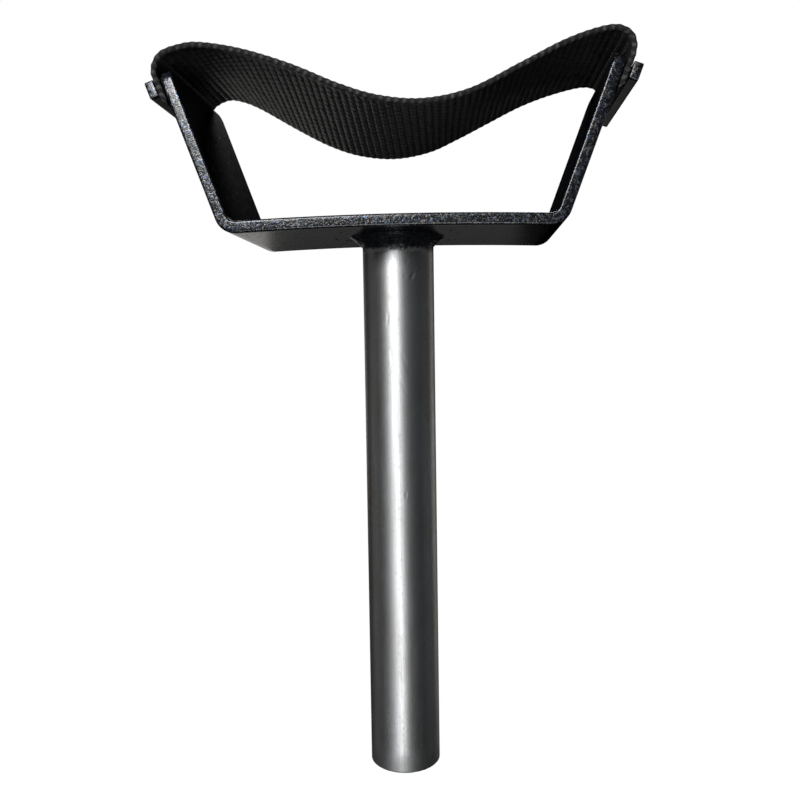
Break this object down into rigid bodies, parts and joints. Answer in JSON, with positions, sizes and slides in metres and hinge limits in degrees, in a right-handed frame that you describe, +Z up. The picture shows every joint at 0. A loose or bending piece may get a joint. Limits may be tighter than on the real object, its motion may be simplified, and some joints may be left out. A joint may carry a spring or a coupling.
{
  "type": "hoof stand cradle",
  "caption": "Strap-sling cradle head: a bent flat-bar yoke on a round steel stem, with a sagging webbing strap clamped over the ends of its two leaning arms.",
  "frame": {"origin": "centre of the stem's bottom end", "axes": "+Z up along the stem, +X along the yoke from the left arm to the right arm, +Y from the front face to the back face"},
  "size_m": [0.2004, 0.077, 0.3159],
  "materials": {
    "stem_steel": "bare mill finish with fine lengthwise lines, scuffs and nicks",
    "weld_paint": "black paint over a rippled weld, thin over one bright spot",
    "hammertone_paint": "black hammertone with pale blue-grey flecks",
    "webbing": "heavy cross-ribbed black webbing with a light selvage",
    "screw_steel": "black oxide"
  },
  "bodies": {
    "root": {"stem_tube": "stem_steel", "stem_weld_bead": "weld_paint", "yoke_bar": "hammertone_paint", "strap_webbing": "webbing", "left_clamp_bar": "hammertone_paint", "right_clamp_bar": "hammertone_paint", "left_clamp_screw_1": "screw_steel", "left_clamp_screw_2": "screw_steel", "left_clamp_screw_3": "screw_steel", "right_clamp_screw_1": "screw_steel", "right_clamp_screw_2": "screw_steel", "right_clamp_screw_3": "screw_steel"}
  },
  "joints": []
}
